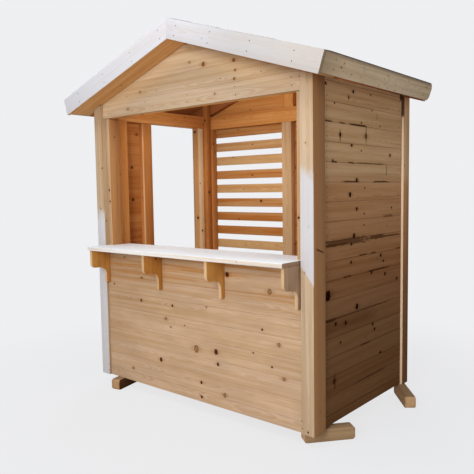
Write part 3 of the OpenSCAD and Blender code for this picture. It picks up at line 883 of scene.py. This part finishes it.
def soften(mesh, width, segments=1):
    """Chamfers every sharp edge and marks the new faces as arris."""
    bm = bmesh.new()
    bm.from_mesh(mesh)
    arris = bm.faces.layers.float.new("arris")
    sharp = [e for e in bm.edges if len(e.link_faces) == 2 and e.calc_face_angle(0.0) > SHARP]
    made = bmesh.ops.bevel(bm, geom=sharp, offset=width, offset_type="OFFSET", segments=segments, profile=0.5,
                           affect="EDGES", clamp_overlap=True)
    for face in made["faces"]:
        face[arris] = 1.0
    bmesh.ops.recalc_face_normals(bm, faces=bm.faces)
    bm.to_mesh(mesh)
    bm.free()
    mesh.polygons.foreach_set("use_smooth", [True] * len(mesh.polygons))
    mesh.set_sharp_from_angle(angle=ROUND)


def hand_over(name, mesh, finish, slot, *nodes):
    """A finished piece that rides with the hut and stands for these solids."""
    piece = bpy.data.objects.new(name, mesh)
    mesh.name = name
    mesh.materials.clear()
    mesh.materials.append(finish)
    bpy.context.scene.collection.objects.link(piece)
    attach(piece, "root")
    if nodes:
        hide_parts(*nodes)
    return piece


# %% [markdown]
# ## Walls
# The wall boards are about 117 mm wide and 18 mm thick, tongued and grooved, so no light comes
# through. They run level from post to post. Joints and the larger knots of the front, the gable,
# the right wall and the boards before the doorway lie where the photograph has them. The other
# walls use the same boards with scattered knots. A gable is laid as a wall whose ridge lies low
# enough to cut the boards. Inside, out of the rain, the wood has turned orange, so the inner
# faces take a finish of their own.

# %% Boards and knots of the walls
X, Y, Z = Vector((1, 0, 0)), Vector((0, 1, 0)), Vector((0, 0, 1))

# The height of a wall's lowest joint, and the width of its boards.
SIDE_BOARDS, OVER_DOOR_BOARDS, FRONT_BOARDS = (0.148, 0.1168), (2.148, 0.1168), (0.150, 0.120)
FRONT_GABLE_BOARDS, REAR_GABLE_BOARDS = (2.173, 0.120), (2.170, 0.113)
# Shades of the front boards from the bottom up. They differ from board to board, and the low ones are paler
# as painted light against the weaker light near the ground.
FRONT_SHADES = [0.05, 0.0, 0.15, 0.4, 0.25, 0.5, 0.35, 0.7, 0.6]

# The place of a knot along the wall, its height and its radius, below zero for a live one.
FRONT_KNOTS = [
    (-0.522, 0.711, 0.0075), (-0.189, 0.710, 0.007), (0.140, 0.738, -0.005), (0.608, 0.656, 0.006),
    (-0.259, 0.608, -0.009), (-0.211, 0.555, -0.006), (-0.071, 0.585, 0.004), (0.735, 0.580, -0.010),
    (0.039, 0.440, -0.018), (0.220, 0.450, 0.014), (0.535, 0.498, 0.0045), (0.681, 0.434, 0.0055),
    (-0.320, 0.300, 0.012), (0.235, 0.369, 0.009), (0.770, 0.380, -0.011), (0.079, 0.215, 0.0085),
    (0.291, 0.172, -0.011), (-0.634, 0.179, -0.009), (0.080, 0.115, 0.0085), (-0.836, 0.805, 0.006),
    (-0.510, 0.875, -0.010), (0.669, 0.896, -0.014), (0.329, 0.974, 0.013), (-0.700, 1.020, -0.006)]
GABLE_KNOTS = [
    (0.154, 2.318, 0.012), (0.412, 2.302, 0.011), (0.422, 2.243, 0.006), (0.414, 2.193, 0.007),
    (-0.470, 2.215, -0.008), (0.031, 2.348, -0.006), (-0.610, 2.110, -0.008), (0.250, 2.120, -0.006)]
RIGHT_KNOTS = [
    (-0.384, 2.112, 0.007), (-0.066, 2.100, 0.009), (-0.120, 2.060, -0.007), (-0.222, 1.830, 0.010),
    (0.097, 1.839, -0.012), (-0.084, 1.776, 0.009), (0.440, 1.731, 0.009), (-0.308, 1.676, 0.006),
    (-0.020, 1.564, 0.010), (-0.104, 1.472, 0.012), (-0.020, 1.382, 0.009), (0.468, 1.374, 0.006),
    (-0.054, 1.214, 0.012), (-0.092, 1.051, 0.008), (0.310, 1.058, 0.009), (0.348, 1.016, 0.007),
    (0.178, 0.960, 0.010), (0.373, 0.924, 0.009), (-0.364, 0.878, 0.024), (-0.016, 0.760, 0.014),
    (-0.277, 0.695, 0.009), (-0.158, 0.682, 0.010), (0.198, 0.608, 0.009), (0.224, 0.568, 0.008),
    (-0.220, 0.570, 0.006), (0.308, 0.385, 0.010), (-0.296, 0.345, -0.012), (0.556, 0.870, 0.008),
    (-0.287, 2.011, 0.005), (0.036, 1.919, 0.005), (0.288, 1.915, 0.0045), (0.178, 2.008, 0.0045),
    (0.157, 2.105, 0.005), (0.036, 1.746, 0.0045), (0.084, 1.512, 0.0045), (0.076, 1.348, 0.005),
    (0.076, 1.275, 0.0045), (-0.089, 1.164, 0.007)]
LEFT_KNOTS = [
    (0.217, 1.706, 0.009), (0.214, 1.444, 0.010), (0.330, 0.420, 0.008), (0.120, 0.780, -0.010),
    (0.290, 1.140, 0.007), (0.160, 1.975, -0.009), (0.380, 2.080, 0.006), (0.090, 0.200, -0.008),
    (0.250, 0.560, 0.006), (0.350, 1.600, -0.008)]
print("knots:", len(FRONT_KNOTS + GABLE_KNOTS + RIGHT_KNOTS + LEFT_KNOTS))

# %% Board the walls
BOARD_EDGE, FINE_EDGE, RIDGE_TRIM = 0.0016, 0.0012, 0.004


def refinish(piece, finish, towards):
    """Gives the faces that look this way another finish."""
    piece.data.materials.append(finish)
    for face in piece.data.polygons:
        if face.normal.dot(towards) > 0.5:
            face.material_index = len(piece.data.materials) - 1


def board_up(name, node, along, finish, boards, marks=None, shades=None, edge=BOARD_EDGE, gable=False):
    """Boards in place of a wall's solid. In a gable they are cut to the slope, short of a point."""
    first, pitch = boards
    low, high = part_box(node)
    middle, inward = (low + high) / 2, Z.cross(along)
    outer = min(low.dot(inward), high.dot(inward))
    length, thickness = (abs((high - low).dot(way)) for way in (along, inward))
    fit = {"Top": high.z - RIDGE_TRIM, "Ridge": high.z} if gable else {"Top": high.z}
    mesh = grown(BOARD_LAYING, Length=length, Thickness=thickness, Pitch=pitch, First_Joint=first,
                 Bottom=low.z, Seed=len(name), Material=finish, **fit)
    soften(mesh, edge)
    corner = along * middle.dot(along) + inward * outer
    mesh.transform(Matrix.Translation(corner) @ Matrix((along, inward, Z)).transposed().to_4x4())
    piece = hand_over(name, mesh, finish, "spruce", node)
    refinish(piece, inner_spruce, inward)
    print(name, "boards:", lay_grain(piece, along, Z, marks, shades=shades))
    return piece


board_up("front_wall", "front_boards", X, sheltered_spruce, FRONT_BOARDS, FRONT_KNOTS, FRONT_SHADES,
         FINE_EDGE)
board_up("front_gable_boards", "front_gable", X, gable_spruce, FRONT_GABLE_BOARDS, GABLE_KNOTS,
         edge=FINE_EDGE, gable=True)
board_up("right_wall", "right_boards", Y, side_spruce, SIDE_BOARDS, RIGHT_KNOTS)
board_up("left_front_wall", "left_front_boards", -Y, front_spruce, SIDE_BOARDS, LEFT_KNOTS)
board_up("left_rear_wall", "left_rear_boards", -Y, front_spruce, SIDE_BOARDS)
board_up("left_head_wall", "left_head_boards", -Y, front_spruce, OVER_DOOR_BOARDS)
board_up("rear_wall", "rear_boards", -X, front_spruce, SIDE_BOARDS)
piece = board_up("rear_gable_boards", "rear_gable", -X, front_spruce, REAR_GABLE_BOARDS, gable=True)
refinish(piece, frame_spruce, -Y)

# %% [markdown]
# ## Slatted panel
# Half of the back is open: sixteen slats with gaps let air through. They are the same boards
# with a gap between them, so the same tree lays them. Hand-nailed slats never sit quite level,
# so each gets its own small tilt, and their shades differ more than those of a wall.

# %% Slats
SLAT_PITCH, SLAT_GAP, SLAT_EDGE, SLAT_TILT = 0.124, 0.050, 0.002, 0.0012
SLAT_SHADES = [0.4, 0.7, 0.2, 0.6, 0.3, 0.8, 0.5, 0.15, 0.9, 0.85, 0.7, 0.25, 0.85, 0.3, 0.4, 0.75]


def slat_panel():
    """Slats in place of the panel's solid, with their gaps."""
    low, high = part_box("rear_slats")
    mesh = grown(BOARD_LAYING, Length=high.x - low.x, Thickness=high.y - low.y, Pitch=SLAT_PITCH,
                 Gap=SLAT_GAP, First_Joint=low.z + SLAT_PITCH, Bottom=low.z, Top=high.z, Tilt=SLAT_TILT,
                 Seed=5, Material=slat_spruce)
    soften(mesh, SLAT_EDGE, 2)
    mesh.transform(Matrix.Translation(((low.x + high.x) / 2, low.y, 0)))
    piece = hand_over("slats", mesh, slat_spruce, "warm_spruce", "rear_slats")
    print("slats:", lay_grain(piece, X, Z, per_metre=1.8, shades=SLAT_SHADES))


slat_panel()

# %% [markdown]
# ## Timbers
# Posts, studs, sills, plates, rafters, barge boards, brackets and feet are single pieces of
# wood. Their solids already have the right shape, also the drawn curve of the brackets, and
# only lack what a plane and years of use do to an edge. So each is copied, its triangles are
# merged to whole faces, its edges are softened and the grain is laid along it.

# %% Helpers for timbers
def whole_faces(node):
    """A copy of a solid's mesh with its loose triangles merged to flat faces."""
    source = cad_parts[node].data
    mesh = bpy.data.meshes.new(node)
    mesh.from_pydata([v.co for v in source.vertices], [], [p.vertices[:] for p in source.polygons])
    bm = bmesh.new()
    bm.from_mesh(mesh)
    bmesh.ops.remove_doubles(bm, verts=bm.verts, dist=1e-5)
    bmesh.ops.dissolve_limit(bm, angle_limit=math.radians(0.4), verts=bm.verts, edges=bm.edges)
    bm.to_mesh(mesh)
    bm.free()
    return mesh


def timber(node, finish, slot, along, across, edge=0.0025, **knots):
    """A piece in place of a timber's solid, with its grain along it."""
    mesh = whole_faces(node)
    soften(mesh, edge, 2)
    piece = hand_over(node + "_timber", mesh, finish, slot, node)
    lay_grain(piece, along, across, **knots)
    return piece


def side_of(node):
    """Minus one for a piece at the left, and one for a piece at the right."""
    return -1 if "left" in node else 1


def down_slope(node):
    """The way that water runs on this side of the roof."""
    return Vector((side_of(node) * math.cos(PITCH), 0, -math.sin(PITCH)))


def off_slope(node):
    """The way straight out of this side of the roof."""
    return Vector((side_of(node) * math.sin(PITCH), 0, math.cos(PITCH)))


# %% Posts, studs, jambs and stiles
POST_EDGE = 0.003

for node, shade in (("front_left_post", 0.9), ("front_right_post", 0.3)):
    timber(node, post_spruce, "spruce", Z, X, POST_EDGE, shades=[shade], largest=0.006)
timber("rear_left_post", front_spruce, "spruce", Z, X, POST_EDGE)
piece = timber("rear_right_post", side_spruce, "spruce", Z, X, POST_EDGE)
# Painted light: the front face of the rear post's step takes the pale lit finish.
refinish(piece, step_spruce, -Y)
refinish(piece, front_spruce, Y)
for node in ("front_left_stile", "front_right_stile"):
    refinish(timber(node, front_spruce, "spruce", Z, Y), golden_spruce, -X * side_of(node))
for node in ("right_front_stud", "right_rear_stud", "left_front_stud"):
    timber(node, frame_spruce, "warm_spruce", Z, Y)
refinish(timber("door_front_jamb", inner_spruce, "warm_spruce", Z, Y), jamb_spruce, -Y)
for node in ("rear_left_stile", "rear_right_stile", "rear_left_inner_post"):
    timber(node, inner_spruce, "warm_spruce", Z, X)
timber("king_post", frame_spruce, "warm_spruce", Z, X)
timber("rear_mid_stile", stile_spruce, "warm_spruce", Z, X)
# Painted light and shade: the rear jamb takes a very pale lit finish, and its front face, in the doorway's
# shade, a darker one.
refinish(timber("door_rear_jamb", clear_spruce, "warm_spruce", Z, X), golden_spruce, -Y)

# %% Sills, plates, rails and brackets
BRACKETS = [("far_left_bracket", bracket_spruce, 0.4), ("mid_left_bracket", bracket_spruce, 0.8),
            ("mid_right_bracket", bracket_spruce, 0.0), ("far_right_bracket", greyed_spruce, 0.5)]

for node in ("right_sill", "left_sill", "right_plate", "left_plate", "ridge_beam"):
    timber(node, frame_spruce, "warm_spruce", Y, Z)
for node in ("front_sill", "front_counter_rail", "front_header", "rear_sill", "rear_top_rail"):
    timber(node, frame_spruce, "warm_spruce", X, Z)
for node, finish, shade in BRACKETS:
    piece = timber(node, finish, "warm_spruce", Z, Y, edge=0.0018, per_metre=1.0, shades=[shade])
    # Painted light: the front edges of the brackets take a paler finish, as lit from the front.
    refinish(piece, stile_spruce, -Y)
print("brackets:", len(BRACKETS))

# %% Roof timbers, counter and feet
# The way that each foot runs, in degrees from the right.
FEET = [("front_left_foot", 103), ("front_right_foot", 51), ("rear_left_foot", 51), ("rear_right_foot", 129)]

for node in ("front_left_rafter", "front_right_rafter", "rear_left_rafter", "rear_right_rafter"):
    timber(node, under_spruce, "warm_spruce", down_slope(node), off_slope(node))
for node in ("left_soffit", "right_soffit"):
    timber(node, soffit_spruce, "warm_spruce", down_slope(node), Y, edge=0.0015)
for node in ("front_left_barge", "front_right_barge", "rear_left_barge", "rear_right_barge"):
    piece = timber(node, pale_spruce, "pale_spruce", down_slope(node), off_slope(node), edge=0.0018)
    refinish(piece, fascia_spruce, down_slope(node))
    # Painted light: the underside of each barge board, in shade, takes the brighter soffit finish.
    refinish(piece, soffit_spruce, -off_slope(node))
for node in ("left_fascia", "right_fascia"):
    piece = timber(node, fascia_spruce, "warm_spruce", Y, off_slope(node), edge=0.002)
    # Painted shadow on the underside of the fascia.
    refinish(piece, damp_spruce, -off_slope(node))
# Painted shade: the counter's right end takes the grey-brown shaded finish.
refinish(timber("counter", counter_spruce, "pale_spruce", X, Y, per_metre=0.6), greyed_spruce, X)
for node, degrees in FEET:
    turn = math.radians(degrees)
    run = Vector((math.cos(turn), math.sin(turn), 0))
    piece = timber(node, foot_spruce, "spruce", run, Z, edge=0.006, per_metre=0.0)
    # The end of each foot that faces the front takes a paler finish, partly painted light. The side of the
    # front left foot that faces under the hut takes painted shade.
    refinish(piece, front_spruce if node == "front_left_foot" else stile_spruce, -run)
    if node == "front_left_foot":
        refinish(piece, damp_spruce, run.cross(Z))

# %% [markdown]
# ## Roof boards
# The roof is closed with the same boards, 20 mm thick, laid from front to back on the rafters.
# They show from inside and under the eaves. The tree that boards the walls lays them too: up
# the slope instead of up the wall, counted from the eave, and ending just short of the ridge,
# where two square-edged boards touch at their lower corners.

# %% Board the roof
ROOF_BOARD, ROOF_COURSES = 0.020, 10


def roof_slope(node):
    """Boards in place of one slope's solid."""
    low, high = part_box(node)
    along, up = Y * side_of(node), -down_slope(node)
    slope, short = (high.x - low.x) / math.cos(PITCH), ROOF_BOARD * FALL
    wide = (slope - short) / ROOF_COURSES
    mesh = grown(BOARD_LAYING, Length=high.y - low.y, Thickness=ROOF_BOARD, Pitch=wide,
                 First_Joint=wide - slope, Bottom=-slope, Top=-short, Seed=len(node), Material=under_spruce)
    soften(mesh, BOARD_EDGE)
    ridge = Matrix.Translation((0.0, (low.y + high.y) / 2, high.z))
    mesh.transform(ridge @ Matrix((along, up.cross(along), up)).transposed().to_4x4())
    piece = hand_over(node + "_boards", mesh, under_spruce, "spruce", node)
    print(piece.name, "boards:", lay_grain(piece, along, up))


SLOPES = ("left_roof", "right_roof")
for node in SLOPES:
    roof_slope(node)

# %% [markdown]
# ## Roofing felt
# The boards are kept dry by a mineral felt, rolled out level in courses. Each course laps over
# the one below and a cap is folded over the ridge, so water always runs onto felt. One sheet
# would be easier, but the laps are what shows from above. Each course is a thin slab whose
# lower edge lies on the next. Its two ends are pressed flat where they are nailed down along
# the barge boards, and the finish has the grit of its crushed slate.

# %% Felt courses
FELT, FELT_EDGE, PRESSED_END, PRESSED_SHARE = 0.003, 0.0008, 0.045, 0.3


def felt_finish():
    made, tree = open_material("slate_felt")
    place = object_place(tree)
    grit = put(tree, "ShaderNodeTexVoronoi", inputs={"Vector": place, "Scale": 420.0}).outputs
    tint = parts_of(tree, grit["Color"])["X"]
    patch = fade(tree, noise_at(tree, place, 3.2, 5.0), 0.42, 0.7, 0.0, 0.5)
    slate = mixed(tree, fade(tree, tint, 0.1, 0.9), colour("3a3a3a"), colour("6a6864"))
    skin(tree, {"Base Color": mixed(tree, patch, slate, colour("4d4a42")),
                "Roughness": fade(tree, tint, 0.0, 1.0, 0.78, 0.95), "Specular IOR Level": 0.25,
                "Normal": bumped(tree, 0.5, 0.0015, grit["Distance"])})
    return made


def felt_courses():
    """Three courses on each slope and the cap, in place of the felt's solid."""
    low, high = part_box("roof_felt")
    eave = high.x / math.cos(PITCH) - FELT * FALL
    peak = Vector((0.0, 0.0, high.z - FELT / math.cos(PITCH)))
    stations = [(low.y, PRESSED_SHARE), (low.y + PRESSED_END, 1.0),
                (high.y - PRESSED_END, 1.0), (high.y, PRESSED_SHARE)]
    # How far a course's lower and upper edge lie from the ridge, and how high above the boards.
    courses = [(eave, eave - 0.46, 0.0, 0.0), (eave - 0.39, 0.33, 0.0025, 0.0),
               (0.41, 0.002, 0.0025, 0.0), (0.15, 0.0, 0.003, 0.003)]
    bm = bmesh.new()
    for node in SLOPES:
        down, off = down_slope(node), off_slope(node)
        for lower, upper, lift, upper_lift in courses:
            outline = [(lower, lift), (lower, lift + FELT), (upper, upper_lift + FELT), (upper, upper_lift)]
            rings = []
            for y, share in stations:
                corners = [peak + down * d + off * h * share + Y * y for d, h in outline]
                rings.append([bm.verts.new(corner) for corner in corners])
            bm.faces.new(rings[0])
            bm.faces.new(rings[-1])
            for one, other in zip(rings, rings[1:]):
                for i in range(len(outline)):
                    bm.faces.new((one[i], one[i - 1], other[i - 1], other[i]))
    bmesh.ops.recalc_face_normals(bm, faces=bm.faces)
    mesh = bpy.data.meshes.new("felt_courses")
    bm.to_mesh(mesh)
    bm.free()
    soften(mesh, FELT_EDGE)
    return hand_over("felt_courses", mesh, felt_finish(), "roofing_felt", "roof_felt")


print("felt faces:", len(felt_courses().data.polygons))

# %% [markdown]
# ## Nails
# Each side board is held by two nails wherever it crosses a stud, a jamb or a stile, and their
# heads are the small dark dots that run down the walls. In front only the gable, the posts, the
# barge boards and one spot on the counter's edge show any, because the boards below are nailed
# through their tongues. They could be painted on, but a head catches light. A second tree
# stands one head of a few faces on every point of a mesh and turns it to face out of the wall.
# The points follow the boards and what is behind them.

# %% The tree that drives nails
tree, get, give = open_group(
    "nail_driving", "GeometryNodeTree",
    {"Geometry": "Geometry", "Radius": 0.0037, "Proud": 0.0009, "Stray": 0.003, "Seed": 3,
     "Material": "Material"},
    {"Geometry": "Geometry"})
facing = put(tree, "GeometryNodeInputNamedAttribute", {"data_type": "FLOAT_VECTOR"}, {"Name": "facing"})
stray = stray_of(tree, vector_of(tree, get["Stray"], get["Stray"], get["Stray"]), get["Seed"])
outward = vector_step(tree, "PROJECT", stray, facing.outputs[0])
spots = put(tree, "GeometryNodeSetPosition", inputs={
    "Geometry": get["Geometry"], "Offset": vector_step(tree, "SUBTRACT", stray, outward)})
head = put(tree, "GeometryNodeMeshCone", {"fill_type": "NGON"}, {
    "Vertices": 8, "Radius Top": product(tree, get["Radius"], 0.62),
    "Radius Bottom": get["Radius"], "Depth": get["Proud"]})
turned = put(tree, "FunctionNodeAlignRotationToVector", {"axis": "Z"}, {"Vector": facing.outputs[0]})
driven = put(tree, "GeometryNodeInstanceOnPoints", inputs={
    "Points": spots.outputs[0], "Instance": head.outputs["Mesh"], "Rotation": turned.outputs[0]})
driven = put(tree, "GeometryNodeRealizeInstances", inputs={0: driven.outputs[0]})
driven = put(tree, "GeometryNodeSetMaterial", inputs={
    "Geometry": driven.outputs[0], "Material": get["Material"]})
NAIL_DRIVING = hand_out(tree, give, Geometry=driven.outputs[0])
print("nail tree:", len(tree.nodes), "nodes")


def nail_finish():
    made, tree = open_material("nail_steel")
    rust = noise_at(tree, object_place(tree), 40.0, 3.0)
    skin(tree, {"Base Color": mixed(tree, fade(tree, rust, 0.4, 0.65), colour("2e2620"), colour("2a160c")),
                "Metallic": fade(tree, rust, 0.35, 0.6, 0.4, 0.0), "Specular IOR Level": 0.1,
                "Roughness": fade(tree, rust, 0.3, 0.7, 0.5, 0.85)})
    return made


# %% Where the nails of the walls go
NAIL_STEP, NAIL_MARGIN = 0.03, 0.012


def wall_way(out):
    """The way along a wall that faces this way."""
    return Vector((abs(out.y), abs(out.x), 0))


def on_wall(node, out, columns, heights):
    """Points on a wall's outer face: columns are along it, heights above the ground."""
    face = max(corner.dot(out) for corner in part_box(node))
    return [(out * face + wall_way(out) * c + Z * h, out) for c in columns for h in heights]


def near_ends(node, out, inset):
    """Two columns, this far in from the ends of a wall."""
    low, high = (corner.dot(wall_way(out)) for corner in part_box(node))
    return low + inset, high - inset


def board_rows(node):
    """Two heights for each board of a side wall, clear of its lower and upper end."""
    low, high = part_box(node)
    first, pitch = SIDE_BOARDS
    middles = [first + pitch * (k - 0.5) for k in range(40)]
    found = [middle + step for middle in middles for step in (-NAIL_STEP, NAIL_STEP)]
    return [height for height in found if low.z + NAIL_MARGIN < height < high.z - NAIL_MARGIN]


slat_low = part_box("rear_slats")[0].z
slat_rows = [slat_low + SLAT_PITCH * k + d for k in range(len(SLAT_SHADES)) for d in (0.018, 0.056)]
nails = on_wall("left_head_boards", -X, (0.0, 0.23, 0.46), (2.09, 2.13))
nails += on_wall("rear_slats", Y, near_ends("rear_slats", Y, 0.036), slat_rows)
for node, out, inset in (("right_boards", X, 0.046), ("left_front_boards", -X, 0.046),
                         ("left_rear_boards", -X, 0.034), ("rear_boards", Y, 0.030)):
    nails += on_wall(node, out, near_ends(node, out, inset), board_rows(node))
nails += on_wall("rear_gable", Y, (-0.87, 0.0, 0.87), (2.085, 2.14, 2.2, 2.25))
nails += on_wall("rear_gable", Y, (0.0,), (2.31, 2.37, 2.42, 2.48))
nails += on_wall("front_gable", -Y, (-0.84, -0.42, 0.0, 0.42, 0.84), (2.095, 2.145))
nails += on_wall("counter", -Y, (0.57,), (1.089,))
print("wall nails:", len(nails))

# %% Nails of the posts and the roof, and all of them driven
front_edge, rear_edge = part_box("front_left_barge")[0].y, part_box("rear_left_barge")[1].y
ridge_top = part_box("front_left_barge")[1].z
eave_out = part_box("right_fascia")[1].x
for post in ("front_left_post", "front_right_post"):
    side, down, off = side_of(post), down_slope(post), off_slope(post)
    nails += on_wall(post, -Y, (side * 0.91,), (2.168, 2.137, 0.160, 0.115))
    nails += on_wall("front_gable", -Y, (side * 0.62, side * 0.30), (2.205,))
    for edge, out in ((front_edge, -Y), (rear_edge, Y)):
        top = Vector((0, edge, ridge_top))
        nails += [(top + down * d - off * h, out) for d in (0.10, 0.40, 0.72, 1.04) for h in (0.034, 0.094)]
    eave = Vector((side * eave_out, 0, ridge_top - eave_out * FALL))
    nails += [(eave - off * h + Y * y, down) for y in (-0.56, -0.26, 0.04, 0.34, 0.60) for h in (0.03, 0.085)]

nail_spots = bpy.data.meshes.new("nail_spots")
nail_spots.from_pydata([place for place, out in nails], [], [])
write(nail_spots, "facing", "POINT", np.array([out for place, out in nails]))
steel = nail_finish()
hand_over("nails", grown(NAIL_DRIVING, nail_spots, Material=steel), steel, "spruce")
print("nails:", len(nails))
